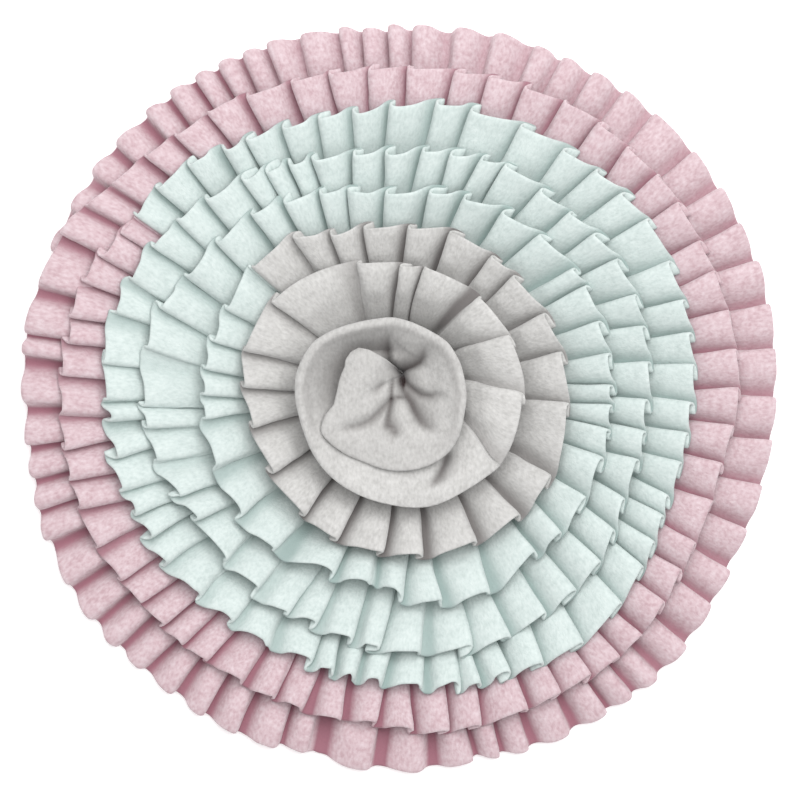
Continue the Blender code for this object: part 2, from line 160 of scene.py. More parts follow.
GREY_SECTIONS = (
    Section(1841.5, 98.5, 1), Section(1856.0, 97.0, 1), Section(1866.0, 90.0, 1),
    Section(1879.0, 88.0, 1), Section(1893.5, 86.5, 1), Section(1906.0, 88.0, 1),
    Section(1923.0, 85.5, 1), Section(1932.5, 85.0, 2), Section(1965.0, 85.0, 1),
    Section(1984.0, 84.5, 1), Section(2006.5, 85.5, 1), Section(2023.0, 85.0, 1),
    Section(2042.0, 82.5, 1), Section(2062.0, 80.5, 1), Section(2075.0, 78.5, 1),
    Section(2092.0, 78.5, 1), Section(2111.0, 76.5, 1), Section(2130.0, 75.0, 1),
    Section(2149.0, 76.0, 2), Section(2176.0, 81.5, 1), Section(2198.0, 80.0, 1),
    Section(2231.0, 71.0, 1), Section(2248.0, 67.5, 1), Section(2262.0, 66.0, 1),
    Section(2288.0, 63.5, 1), Section(2310.0, 62.0, 1), Section(2335.0, 61.0, 1),
    Section(2371.0, 59.5, 1), Section(2400.0, 56.2, 1),
    Section(2413.0, 56.2, 1), Section(2424.0, 55.2, 1), Section(2439.0, 53.6, 1),
    Section(2455.0, 53.0, 1), Section(2471.0, 52.8, 1), Section(2486.0, 52.2, 1),
    Section(2501.0, 51.5, 1), Section(2511.0, 51.8, 1), Section(2519.0, 52.6, 1),
    Section(2533.0, 53.5, 1), Section(2541.5, 53.0, 1), Section(2553.5, 51.6, 1),
    Section(2561.0, 49.4, 1), Section(2570.0, 46.6, 1), Section(2582.0, 43.5, 1),
    Section(2595.0, 41.5, 1), Section(2604.0, 40.8, 1), Section(2615.0, 39.1, 1),
    Section(2626.0, 37.6, 1), Section(2638.0, 36.9, 1), Section(2649.0, 36.8, 1),
    Section(2660.0, 35.8, 1), Section(2670.0, 35.0, 1), Section(2683.0, 33.9, 1),
    Section(2695.0, 33.6, 1), Section(2710.0, 33.4, 1), Section(2722.0, 34.2, 1),
    Section(2734.0, 35.6, 1), Section(2752.0, 36.9, 1), Section(2764.0, 37.0, 1),
    Section(2798.0, 36.8, 1), Section(2815.0, 36.8, 1), Section(2837.0, 39.9, 1),
    Section(2848.0, 42.0, 1), Section(2856.0, 43.2, 1), Section(2866.0, 39.6, 1),
    Section(2876.0, 33.5, 1), Section(2891.0, 31.8, 1), Section(2909.0, 31.9, 1),
    Section(2918.0, 34.1, 1), Section(2924.5, 35.4, 1), Section(2934.0, 35.0, 0),
)

# ---- pleats ---------------------------------------------------------------------------
# The guide points of one pleat, in the order in which the cloth runs: over the crest,
# down the face, under the next crest, round the hidden fold and back. A pleat lies
# between two shapes: closed, with its fold hidden, and open, a round wave. face: share
# of the way to the next crest; lap: share of the lap beyond it; on: mm farther on;
# height: share of the relief; stick: share of how far the edge sticks out there
Guide = namedtuple("Guide", "face lap on height stick")
CLOSED = (
    Guide(0.00, 0.00, 0.6, 0.10, 0.85),
    Guide(0.00, 0.00, 0.1, 1.15, 0.00),
    Guide(0.20, 0.00, 0.0, 1.25, 0.00),
    Guide(0.64, 0.00, 0.0, 1.05, 0.20),
    Guide(0.87, 0.00, 0.0, 0.10, 0.50),
    Guide(0.97, 0.20, 0.0, -1.20, 0.95),
    Guide(1.00, 1.00, 0.8, -1.30, 1.00),
    Guide(1.00, 1.00, 0.8, 0.00, 1.00),
    Guide(1.00, 0.50, 0.0, 0.10, 1.00),
)
OPEN = (
    Guide(0.00, 0.00, -0.2, 0.40, 0.20),
    Guide(0.03, 0.00, 0.0, 1.10, 0.90),
    Guide(0.20, 0.00, 0.0, 1.12, 1.00),
    Guide(0.42, 0.00, 0.0, 0.95, 0.60),
    Guide(0.58, 0.00, 0.0, -0.10, -0.20),
    Guide(0.70, 0.00, 0.0, -1.15, -0.90),
    Guide(0.82, 0.00, 0.0, -1.30, -1.00),
    Guide(0.92, 0.00, 0.0, -1.10, -0.80),
    Guide(0.97, 0.00, 0.0, -0.45, -0.40),
)
STEPS_PER_PLEAT = 22
SMOOTH_BELOW, PLEATED_ABOVE = 0.4, 1.5      # relief below and above which cloth is smooth or folded

# How the pleats change along the spiral. lap: depth of the hidden fold as a share of the
# face; peek: how far the hidden layers stick out (mm); open, rim_open: share of the open
# shape on the strip and at its edge; scallop: how far the edge of open pleats swings out
# at the crests and in between them (mm); fading: share of the relief that is lost at the
# edge; unevenness: how much one pleat differs from the next; depth: strength of the painted
# shade in the grooves; slant: half of how far on a crest is at the rim than at the root (mm)
Style = namedtuple("Style", "turn lap peek open rim_open scallop fading unevenness depth slant")
STYLES = (
    Style(0.06, 0.30, 0.3, 1.0, 1.0, 1.3, 0.45, 0.7, 0.9, 0.0),
    Style(0.15, 0.35, 0.3, 0.9, 1.0, 1.5, 0.35, 0.5, 1.0, 0.0),
    Style(0.20, 0.35, 0.3, 0.5, 0.8, 1.4, 0.45, 0.6, 0.3, 0.0),
    Style(0.30, 0.35, 0.4, 0.7, 0.9, 1.2, 0.45, 0.6, 0.3, 0.0),
    Style(0.42, 0.40, 0.5, 0.3, 0.6, 1.0, 0.20, 0.6, 0.7, 0.0),
    Style(0.52, 0.40, 0.5, 0.2, 0.4, 0.8, 0.20, 0.6, 0.8, 0.0),
    Style(0.60, 0.40, 0.5, 0.7, 0.9, 1.3, 0.30, 0.6, 0.9, 0.0),
    Style(0.70, 0.35, 0.5, 0.8, 1.0, 1.4, 0.45, 0.8, 1.2, 0.0),
    Style(0.76, 0.35, 0.5, 0.8, 1.0, 1.3, 0.60, 1.3, 1.3, 0.0),
    Style(0.85, 0.30, 0.4, 0.8, 1.0, 1.4, 0.35, 0.7, 1.0, 0.0),
    Style(1.00, 0.30, 0.6, 0.8, 1.0, 0.9, 0.35, 0.8, 1.0, 0.0),
    Style(1.12, 0.35, 2.2, 0.4, 0.5, -0.6, 0.20, 1.2, 0.9, -1.0),
    Style(1.25, 0.40, 3.0, 0.2, 0.3, -0.6, 0.10, 1.3, 0.9, -1.5),
    Style(1.50, 0.45, 1.6, 0.2, 0.1, 0.3, 0.00, 0.7, 1.0, -0.5),
    Style(1.66, 0.45, 1.6, 0.3, 0.3, -0.4, 0.10, 0.9, 1.2, 0.0),
    Style(1.78, 0.40, 1.4, 0.5, 0.7, -1.2, 0.15, 1.4, 1.3, 0.0),
    Style(1.90, 0.40, 1.0, 0.6, 0.7, -0.9, 0.20, 1.0, 0.9, 0.0),
    Style(2.10, 0.50, 3.0, 0.3, 0.4, -1.0, 0.00, 1.5, 0.7, 1.0),
    Style(2.30, 0.45, 2.6, 0.1, 0.2, -0.5, 0.00, 0.8, 0.8, 2.0),
    Style(2.60, 0.45, 1.0, 0.0, 0.0, 0.0, 0.00, 0.7, 1.0, 1.5),
    Style(2.72, 0.40, 2.8, 0.2, 0.5, -2.0, 0.15, 1.9, 1.0, 1.0),
    Style(2.90, 0.45, 2.4, 0.3, 0.7, -1.6, 0.00, 1.8, 0.4, 0.0),
    Style(3.15, 0.50, 2.6, 0.2, 0.4, -1.0, 0.00, 1.4, 0.8, 2.0),
    Style(3.30, 0.45, 1.8, 0.3, 0.2, -0.3, 0.00, 0.8, 1.0, 2.5),
    Style(3.60, 0.45, 0.8, 0.0, 0.0, 0.0, 0.00, 0.8, 1.0, 1.0),
    Style(3.75, 0.45, 2.2, 0.3, 0.6, -1.6, 0.10, 1.8, 0.8, 1.0),
    Style(3.95, 0.40, 2.0, 0.4, 0.6, -1.4, 0.10, 1.8, 0.3, 2.0),
    Style(4.20, 0.45, 1.8, 0.4, 0.3, -0.8, 0.00, 1.0, 1.0, 1.5),
    Style(4.50, 0.45, 0.6, 0.0, 0.0, 0.0, 0.00, 1.1, 0.9, 1.0),
    Style(4.75, 0.45, 2.0, 0.5, 0.9, -1.6, 0.30, 1.5, 1.0, 1.0),
    Style(5.10, 0.40, 1.4, 0.3, 0.4, -0.8, 0.10, 0.9, 0.3, 0.0),
    Style(5.25, 0.40, 0.4, 0.5, 0.2, -0.6, 0.10, 0.9, 1.1, 0.0),
    Style(5.40, 0.40, 0.3, 0.2, 0.1, 0.0, 0.00, 0.8, 0.7, 0.0),
    Style(5.75, 0.40, 0.6, 0.5, 0.5, -0.8, 0.25, 0.9, 1.1, 0.0),
    Style(6.10, 0.35, 0.6, 0.4, 0.4, -0.8, 0.10, 0.8, 0.4, 1.0),
    Style(6.20, 0.35, 0.4, 0.4, 0.1, -0.8, 0.10, 0.5, 1.0, 3.0),
    Style(6.28, 0.35, 1.0, 0.7, 0.5, -0.8, 0.10, 0.8, 1.2, 2.0),
    Style(6.36, 0.35, 1.0, 0.1, 0.1, -0.8, 0.10, 0.8, 0.5, 1.0),
    Style(6.67, 0.30, 0.8, 0.2, 0.2, 0.0, 0.00, 0.5, 0.5, 0.0),
    Style(7.00, 0.30, 0.8, 0.2, 0.2, 0.0, 0.00, 0.5, 0.4, 0.0),
)
LONGEST_LAP = 7.0           # mm
LAP_AT_ROOT = 0.3           # share of the lap that is left at the sewn edge
COVERED, BARE = 0.46, 0.70  # levels between which a strip comes out from under the next row
CREST_LIFT = 0.70           # share by which the crests rise where nothing lies on them
GROOVE_AT_ROOT = 0.16       # share of a pleat's width by which its face is narrower near the root
# How far one pleat differs from the next, where the unevenness is 1
WANDER = 0.10               # crests stray from even spacing, in pleats
STRAY_LEAN, STRAY_BOW = 3.0, 1.2            # crests lean and bend between root and rim (mm)
RELIEF_VARIES, LAP_VARIES = 0.2, 0.3        # shares of the relief and of the lap
OPEN_VARIES = 0.25                          # share of the open shape
RIM_VARIES, FOLD_RIM_VARIES = 0.8, 0.5      # the edge of a pleat and of each fold in it (mm)
HEIGHT_VARIES, FACE_VARIES = 0.16, 0.04     # guide points: share of the relief and of the face
LEAN_LEVEL = 0.6            # level at which a leaning crest is in its place
# Shares of the relief between which grooves get painted shade: it spreads wider near the root
SHADE_FROM_ROOT, SHADE_FROM_RIM, SHADE_TO = 0.5, -0.3, -1.0

# Rows of points across a strip, from root to rim, where it is pleated and in the cup
PLEATED_LEVELS = (0.0, 0.14, 0.27, 0.37, 0.45, 0.52, 0.59, 0.66, 0.73, 0.80, 0.87, 0.93, 0.975, 1.0)
FINE_ROWS = 34
FINE_LEVELS = tuple(1.0 - (1.0 - n / (FINE_ROWS - 1.0)) ** 1.25 for n in range(FINE_ROWS))

# The smooth end of the grey strip
CUP_START = 2371.0          # clock at which the strip's pleats end
CUP_STEP = 1.3              # clock degrees from one column of points to the next in the cup
SETTLING = 10.0             # clock degrees over which the last pleat runs out
END_SWELL = 9.5             # clock degrees by which the strip's end bulges between root and rim

# Creases and hollows drawn into the cup. first, last: clocks between which the cloth is
# pressed; depth: mm at the start of the path; left, right: how fast it rises again on
# either side of the path (mm); shade: painted shade in it; path: places (x, y) along it
Fold = namedtuple("Fold", "first last depth left right shade path")
FOLDS = (
    Fold(2540, 2940, 9.0, 3.2, 3.2, 2.2, ((0.8, 13.0), (1.0, 8.5), (1.7, 4.0))),
    Fold(2540, 2940, 6.0, 3.0, 3.4, 1.1, ((1.1, 7.0), (2.1, 1.0))),
    Fold(2540, 2940, 8.0, 3.4, 3.4, 1.1, ((0.8, 12.0), (-2.0, 15.0), (-4.4, 19.5))),
    Fold(2560, 2760, 8.0, 7.0, 2.2, 1.0, ((1.5, 0.5), (1.0, 5.5), (-0.5, 10.0), (-4.6, 15.3),
                                          (-5.7, 19.5), (-6.0, 24.5), (-6.9, 36.0))),
    Fold(2560, 2780, 9.0, 8.0, 2.2, 1.15, ((0.3, 12.5), (3.1, 15.0), (7.3, 16.4), (10.2, 18.1),
                                          (12.0, 21.0), (12.8, 28.0))),
    Fold(2560, 2800, 8.0, 2.2, 4.0, 1.0, ((2.0, 9.8), (4.5, 6.2), (7.3, 4.1), (10.8, 1.7),
                                          (15.0, 1.0), (19.3, 2.0), (22.5, 4.6))),
    Fold(2600, 2880, 8.0, 8.0, 2.2, 1.1, ((3.1, 0.6), (5.5, -2.9), (7.3, -7.1), (10.2, -12.0),
                                          (13.7, -14.8), (19.5, -16.0))),
    Fold(2740, 2910, 5.0, 2.0, 2.0, 1.0, ((1.7, 0.6), (-1.8, -0.1), (-4.6, -1.0))),
    Fold(2740, 2940, 4.0, 1.2, 1.8, 1.0, ((-4.7, -1.0), (-4.6, 4.0), (-4.4, 9.0), (-4.2, 13.0))),
    Fold(2740, 2880, 6.0, 2.2, 1.8, 1.0, ((-4.6, -1.0), (-5.6, -7.0), (-6.4, -12.5), (-7.6, -19.0))),
    Fold(2740, 2880, 4.0, 5.0, 4.0, 1.0, ((-5.4, -13.5), (-3.4, -16.0), (-0.5, -20.0))),
    Fold(2780, 2940, 5.5, 3.6, 1.6, 0.8, ((-4.6, -0.8), (-8.1, -4.6), (-10.9, -7.3), (-15.1, -11.3),
                                          (-20.7, -13.7), (-27.0, -14.8), (-34.0, -16.5))),
    Fold(2840, 2940, 3.0, 2.0, 2.6, 0.6, ((-9.6, 6.6), (-11.8, 4.1), (-12.9, 0.5))),
    Fold(2372, 2460, 5.5, 3.5, 1.8, 1.0, ((23.5, -29.5), (22.0, -34.5), (19.2, -40.0), (13.6, -47.0))),
)
ROUNDING = 0.7              # how round the folds are at the bottom (mm)
SIDES_MEET = 0.6            # on either side of the path, where the left and right meet (mm)
SHADE_NARROWER = 1.5        # the painted shade fades this many times faster than the depth
GATHER = 3.0                # how far folds that meet add up: 1 is fully, large is hardly
PIT_SHADE = 1.4             # painted shade where the folds meet, as a share of a deep groove's

# The rolled edge of the cup. turn; radius of the roll (mm); bend: degrees that it turns;
# dish: how far the cloth sinks inside the roll (mm); wall: painted shade on the wall under it
Roll = namedtuple("Roll", "turn radius bend dish wall")
ROLLS = (
    Roll(6.70, 0.0, 0.0, 0.0, 0.0), Roll(6.82, 1.2, 70.0, 0.0, 0.0), Roll(6.92, 1.6, 90.0, 0.5, 0.0),
    Roll(7.00, 1.9, 130.0, 5.0, 0.4), Roll(7.12, 1.7, 150.0, 7.0, 0.6), Roll(7.22, 1.7, 150.0, 4.5, 0.3),
    Roll(7.30, 1.7, 150.0, 2.0, 0.0), Roll(7.45, 1.6, 150.0, 2.0, 0.0), Roll(7.55, 1.4, 130.0, 1.5, 0.0),
    Roll(7.65, 1.0, 100.0, 0.8, 0.0), Roll(7.72, 0.9, 80.0, 0.0, 0.0), Roll(7.90, 0.9, 80.0, 0.0, 0.0),
    Roll(8.16, 1.2, 80.0, 0.0, 0.0),
)
DISH_FROM, DISH_FULL = 0.38, 0.66           # levels between which the cloth sinks into the dish
DISH_RISING = 0.74          # level from which it climbs, ever steeper, to the roll
ROLL_START = 0.86           # level at which the roll starts
FOLDS_FADE = 0.08           # levels over which the folds fade out below the roll
WALL_FROM, WALL_FULL, WALL_TO = 0.3, 0.6, 0.88      # levels of the painted shade on the wall under the roll
CUP_SHADE = 0.16            # painted shade: how much darker the cup is than the pleats
CUP_FROM, CUP_FULL = 6.8, 7.0               # turns over which it gets so
UNDER_ROLL = 0.22           # painted shade: darkness of the line under the roll
LINE_BELOW, LINE_WIDTH = 0.02, 0.03         # how far the painted line is below the roll, and its width (levels)
END_CURL = 3.0              # the strip's end in the cup bends down by this much (mm)
END_CURL_ON = 6.0           # over this length (mm)
LEAST_RADIUS = 6.0          # mm, under which a degree of the clock counts as no shorter
LOWEST = GROUND_THICKNESS + 0.2     # height over which the drawn-in cloth stays

# ---- fleece ---------------------------------------------------------------------------
# Colours (linear). deep: painted shade, mixed in at the bottom of the grooves and folds; dark, base,
# light: the mottled pile
Tone = namedtuple("Tone", "deep dark base light")
PINK = Tone((0.34, 0.155, 0.195), (0.53, 0.37, 0.405), (0.62, 0.475, 0.51), (0.70, 0.58, 0.615))
MINT = Tone((0.31, 0.40, 0.385), (0.54, 0.62, 0.605), (0.61, 0.69, 0.675), (0.675, 0.75, 0.735))
GREY = Tone((0.18, 0.168, 0.165), (0.48, 0.475, 0.465), (0.56, 0.555, 0.545), (0.64, 0.635, 0.625))
COLOUR_A, COLOUR_B, COLOUR_RESULT = 6, 7, 2     # places of a mix node's colour sockets

# ---- studio: the camera is straight above, with a long lens (m) ----------------------
CAMERA_PLACE = (0.0, -0.001, 2.2)
EDGE_HEIGHT = 0.005         # height of the outermost edge, where the view is VIEW_WIDTH wide
VIEW_WIDTH = 0.4054
SENSOR_WIDTH = 36.0         # mm
KEY_PLACE, KEY_SIZE, KEY_POWER = (0.32, 0.7, 1.75), 2.0, 33.0
KEY_COLOUR = (1.0, 0.99, 0.98)
SURROUND = 0.65             # strength of the white surround
FLOOR_HALF = 4.0
FLOOR_TONE, FLOOR_GLOW = 0.93, 0.35


def read_table(table, column, at):
    """One column of a table at every place of an array, along a smooth curve through its rows."""
    keys = np.array([row[0] for row in table], float)
    values = np.array([getattr(row, column) for row in table], float)
    rise = np.diff(values) / np.diff(keys)
    turning = rise[:-1] * rise[1:] <= 0.0
    total = np.where(turning, 1.0, rise[:-1] + rise[1:])
    slopes = np.zeros(len(keys))
    slopes[1:-1] = np.where(turning, 0.0, 2.0 * rise[:-1] * rise[1:] / total)
    i = np.clip(np.searchsorted(keys, at, side="right") - 1, 0, len(keys) - 2)
    span = keys[i + 1] - keys[i]
    t = np.clip((at - keys[i]) / span, 0.0, 1.0)
    return (values[i] * (1 + 2 * t) * (1 - t) ** 2 + values[i + 1] * t * t * (3 - 2 * t)
            + slopes[i] * span * t * (1 - t) ** 2 - slopes[i + 1] * span * t * t * (1 - t))


def smoothstep(low, high, value):
    t = np.clip((value - low) / (high - low), 0.0, 1.0)
    return t * t * (3.0 - 2.0 * t)


def direction(clock):
    """Unit vectors of clock angles in the ground plane."""
    angle = np.radians(180.0 - clock)
    return np.stack((np.cos(angle), np.sin(angle), np.zeros_like(angle)), axis=-1)


def unit(vectors):
    return vectors / np.maximum(np.linalg.norm(vectors, axis=-1, keepdims=True), 1e-9)


def crest_clocks(sections):
    """Clock angle of every pleat's crest, the last one ending the strip."""
    clocks = []
    for here, after in zip(sections, sections[1:]):
        step = (after.clock - here.clock) / here.pleats
        clocks += [here.clock + step * n for n in range(here.pleats)]
    return np.array(clocks + [sections[-1].clock])


class Lean:
    """The strip's cross-sections at an array of clock angles: how it leans out from its root."""

    def __init__(self, sections, clock):
        turn = clock / 360.0
        share = np.clip((turn - SHIFT_START) / (SHIFT_END - SHIFT_START), 0.0, 1.0)[..., None]
        outward = direction(clock)
        up = np.array((0.0, 0.0, 1.0))
        reach = read_table(LIE, "reach", turn)[..., None]
        self.tangent = direction(clock + 90.0)
        self.centre = PINCH * share
        self.root = (self.centre + outward * read_table(LIE, "root", turn)[..., None]
                     + up * read_table(LIE, "foot", turn)[..., None])
        self.rim = (outward * read_table(sections, "rim", clock)[..., None]
                    + up * read_table(LIE, "rim", turn)[..., None])
        self.middle = self.root * (1.0 - reach) + self.rim * reach
        self.middle[..., 2] = read_table(LIE, "middle", turn)
        self.roll = read_table(ROLLS, "radius", turn)
        self.dish = read_table(ROLLS, "dish", turn)
        self.bend = np.radians(read_table(ROLLS, "bend", turn))
        self.outward = outward
        self.inset = np.zeros_like(turn)
        for _ in range(3):
            across, normal = self.axes(np.ones_like(turn))
            lying = np.arctan2((across * outward).sum(-1), (normal * outward).sum(-1))
            furthest = (self.roll + FLEECE / 2.0) * np.cos(np.maximum(lying - self.bend, 0.0))
            self.inset = (furthest - self.roll * np.cos(lying)) * (self.roll > 0.0)

    def point(self, level):
        """Places on the curve through root, middle and rim, sunk into the dish and set in by
        what the roll takes."""
        t = level[..., None]
        pull = 2.0 * self.middle - 0.5 * (self.root + self.rim)
        place = self.root * (1 - t) ** 2 + pull * 2 * t * (1 - t) + self.rim * t * t
        climb = np.clip((level - DISH_RISING) / (1.0 - DISH_RISING), 0.0, 1.0)
        place[..., 2] -= self.dish * smoothstep(DISH_FROM, DISH_FULL, level) * (1.0 - climb ** 2)
        return place - self.outward * (self.inset * smoothstep(0.4, 1.0, level))[..., None]

    def axes(self, level):
        """Direction towards the rim, and normal on the strip's upper side."""
        step = 0.02
        ahead, behind = np.minimum(level + step, 1.0), np.maximum(level - step, 0.0)
        across = unit(self.point(ahead) - self.point(behind))
        return across, unit(np.cross(self.tangent, across))

    def frame(self, level):
        """Place, direction towards the rim, and normal, with the rolled edge."""
        start = 1.0 - (1.0 - ROLL_START) * smoothstep(0.0, 1.0, self.roll)
        along = np.minimum(level / start, 1.0)
        across, normal = self.axes(along)
        past = np.clip((level - start) / np.maximum(1.0 - start, 1e-6), 0.0, 1.0)
        angle = (self.bend * past)[..., None]
        turned = np.sin(angle) * across - (1.0 - np.cos(angle)) * normal
        return (self.point(along) + self.roll[..., None] * turned,
                np.cos(angle) * across - np.sin(angle) * normal,
                np.cos(angle) * normal + np.sin(angle) * across)

    def mm_per_degree(self, level):
        """Length along the strip of one degree of the clock."""
        across = self.point(level) - self.centre * (1.0 - level[..., None])
        return np.radians(np.maximum(np.linalg.norm(across[..., :2], axis=-1), LEAST_RADIUS))


def spline(guides, steps):
    """Evenly stepped points of the cubic B-splines whose guide points run along the last axis."""
    count = guides.shape[-1]
    at = np.linspace(0.0, count - 1.0, steps)
    i = np.minimum(at.astype(int), count - 2)
    t = at - i
    padded = np.concatenate((2 * guides[..., :1] - guides[..., 1:2], guides,
                             2 * guides[..., -1:] - guides[..., -2:-1]), axis=-1)
    weights = ((1 - t) ** 3, 3 * t ** 3 - 6 * t ** 2 + 4, -3 * t ** 3 + 3 * t ** 2 + 3 * t + 1, t ** 3)
    return sum(padded[..., i + n] * weight / 6.0 for n, weight in enumerate(weights))


def relief_at(turn, level, fading):
    """Half height of a pleat."""
    root = read_table(LIE, "root_relief", turn)
    rim = read_table(LIE, "relief", turn)
    belly = read_table(LIE, "belly", turn)
    grown = root + (rim - root) * level + belly * 4.0 * level * (1.0 - level)
    return grown * (1.0 - fading * level ** 4)


def pleated_section(sections, crests, levels, rng):
    """The strip's middle surface: for every level (rows) and step along the cloth (columns)
    its clock angle, height above the plain strip, distance past the edge line and painted shade."""
    pleats = len(crests) - 1
    turn = crests[:-1] / 360.0
    style = {name: read_table(STYLES, name, turn) for name in Style._fields[1:]}
    uneven = style["unevenness"]

    def vary(amount, *shape):
        return amount * uneven * rng.uniform(-1, 1, (*shape, pleats))

    crests = crests.copy()
    crests[1:-1] += (vary(WANDER) * np.diff(crests))[1:]
    here, after = crests[:-1], crests[1:]
    relief_factor = 1.0 + vary(RELIEF_VARIES)
    lap_factor = 1.0 + vary(LAP_VARIES)
    opening = vary(OPEN_VARIES)
    out = vary(RIM_VARIES)
    skew = STRAY_LEAN * np.append(uneven, 0.0) * rng.uniform(-1, 1, pleats + 1)
    skew[:-1] += 2.0 * style["slant"]
    bow = STRAY_BOW * np.append(uneven, 0.0) * rng.uniform(-1, 1, pleats + 1)
    skew[[0, -1]] = bow[[0, -1]] = 0.0
    # each guide point strays a little, in its own way at the root and at the rim
    guides = len(CLOSED)
    stray_height = vary(HEIGHT_VARIES, 2, guides)
    stray_face = vary(FACE_VARIES, 2, guides)
    stray_out = vary(FOLD_RIM_VARIES, guides)
    shut = {name: np.array([getattr(guide, name) for guide in CLOSED]) for name in Guide._fields}
    wave = {name: np.array([getattr(guide, name) for guide in OPEN]) for name in Guide._fields}
    clocks, heights, sticks, shades = [], [], [], []
    for level in levels:
        flat = np.full(pleats, level)
        scale = Lean(sections, here).mm_per_degree(flat)
        relief = relief_at(turn, flat, style["fading"]) * relief_factor
        lift = 1.0 + CREST_LIFT * smoothstep(COVERED, BARE, level)
        opened = style["open"] + (style["rim_open"] - style["open"]) * smoothstep(0.6, 1.0, level)
        opened = np.where(opened > 0.0, np.clip(opened + opening, 0.0, 1.0), 0.0)
        lap = np.minimum(style["lap"] * (after - here) * scale, LONGEST_LAP) * lap_factor
        lap = lap * (LAP_AT_ROOT + (1.0 - LAP_AT_ROOT) * level)
        folded = smoothstep(SMOOTH_BELOW, PLEATED_ABOVE, relief)
        lean = skew * (level - LEAN_LEVEL) + bow * math.sin(math.pi * level)
        width = 1.0 - GROOVE_AT_ROOT * (1.0 - opened) * smoothstep(1.0, COVERED, level)
        start = here + lean[:-1] / scale
        end = after + lean[1:] / scale
        rows = []
        for n in range(guides):
            guide = {name: shut[name][n] * (1.0 - opened) + wave[name][n] * opened for name in shut}
            stray = 1.0 - level, level
            face = guide["face"] + stray_face[0, n] * stray[0] + stray_face[1, n] * stray[1]
            clock = start + (end - start) * face * width + (guide["lap"] * lap + guide["on"]) / scale
            plain = here + (after - here) * (n + 0.5) / guides
            height = guide["height"] + stray_height[0, n] * stray[0] + stray_height[1, n] * stray[1]
            # painted shade in the grooves, the darker the lower the cloth lies in them
            shade_from = SHADE_FROM_ROOT + (SHADE_FROM_RIM - SHADE_FROM_ROOT) * level
            shade = smoothstep(shade_from, SHADE_TO, height) * style["depth"] * folded
            height = relief * np.where(height > 0.0, height * lift, height)
            stick = style["peek"] * shut["stick"][n] * (1.0 - opened) * folded
            stick = stick + style["scallop"] * wave["stick"][n] * opened + stray_out[n] + out
            rows.append((plain + (clock - plain) * folded, height, stick * level ** 3, shade))
        section = np.array(rows).transpose(1, 2, 0).reshape(4, -1)
        for values, row in zip((clocks, heights, sticks, shades), section):
            values.append(row)
    steps = pleats * STEPS_PER_PLEAT + 1
    return [spline(np.array(values), steps) for values in (clocks, heights, sticks, shades)]


def smooth_section(sections, before, end, levels):
    """The middle surface of the strip's smooth end and how deep its folds are; before holds
    the last column of the pleats."""
    starts, last_height, last_stick, last_shade = (values[:, -1:] for values in before[:4])
    level = np.array(levels)[:, None]
    ends = end - END_SWELL * (1.0 - smoothstep(1.0, 0.74, level) * smoothstep(0.0, 0.3, level))
    count = int((end - starts.max()) / CUP_STEP)
    clock = starts + (ends - starts) * np.arange(1, count + 1) / count
    level = np.broadcast_to(level, clock.shape)
    lean = Lean(sections, clock)
    press, shade = folds_at(lean.frame(level)[0], clock)
    hold = smoothstep(ROLL_START, ROLL_START - FOLDS_FADE, level)
    rest = smoothstep(SETTLING, 0.0, clock - starts)
    # Painted shade: on the wall under the roll, in a line just under the roll, and over the whole cup
    wall = read_table(ROLLS, "wall", clock / 360.0)
    wall = wall * smoothstep(WALL_FROM, WALL_FULL, level) * smoothstep(WALL_TO, WALL_FULL, level)
    line = np.exp(-((level - ROLL_START + LINE_BELOW) / LINE_WIDTH) ** 2)
    line = smoothstep(0.0, 2.0, lean.dish) * line
    around = CUP_SHADE * smoothstep(CUP_FROM, CUP_FULL, clock / 360.0)
    shade = np.clip(np.maximum(shade * hold, around) + wall + UNDER_ROLL * line, 0.0, PIT_SHADE)
    return [clock, last_height * rest, last_stick * rest,
            shade + (last_shade - shade[:, :1]) * rest, press * hold]


def folds_at(place, clock):
    """How deep the folds press the cloth at every place of a grid (mm), and the painted shade in them.
    """
    depth, shade = np.zeros(clock.shape), np.zeros(clock.shape)
    for fold in FOLDS:
        path = np.array(fold.path)
        spans = np.linalg.norm(np.diff(path, axis=0), axis=1)
        before = np.concatenate(((0.0,), np.cumsum(spans)))
        nearest = np.full(clock.shape, np.inf)
        side, share = np.zeros(clock.shape), np.zeros(clock.shape)
        for start, end, span, gone in zip(path, path[1:], spans, before):
            run = (end - start) / span
            out = place[..., :2] - start
            t = np.clip(out @ run, 0.0, span)
            off = out - t[..., None] * run
            distance = np.linalg.norm(off, axis=-1)
            closer = distance < nearest
            nearest = np.where(closer, distance, nearest)
            side = np.where(closer, run[0] * off[..., 1] - run[1] * off[..., 0], side)
            share = np.where(closer, (gone + t) / before[-1], share)
        width = fold.right + (fold.left - fold.right) * smoothstep(-SIDES_MEET, SIDES_MEET, side)
        nearest = np.hypot(nearest, ROUNDING) - ROUNDING
        strength = (1.0 - share ** 4) * (clock > fold.first) * (clock < fold.last)
        depth += (fold.depth * strength * np.exp(-nearest / width)) ** GATHER
        # painted shade along each fold, narrower than its press
        shade += (fold.shade * strength * np.exp(-SHADE_NARROWER * nearest / width)) ** GATHER
    return depth ** (1.0 / GATHER), shade ** (1.0 / GATHER)


def offset(clock, height, scale, half):
    """How far the upper and the lower face lie from the middle surface: along the clock and up."""
    run = np.gradient(clock, axis=1) * scale
    rise = np.gradient(height, axis=1)
    length = np.maximum(np.hypot(run, rise), 1e-6)
    run, rise = run / length, rise / length
    bend = (run * np.gradient(rise, axis=1) - rise * np.gradient(run, axis=1)) / length
    sides = []
    for sign in (1.0, -1.0):
        inside = np.maximum(bend * sign, 1e-6)
        reach = np.minimum(half, TIGHTEST_INSIDE / inside) * sign
        sides.append((-rise * reach / scale, run * reach))
    return sides


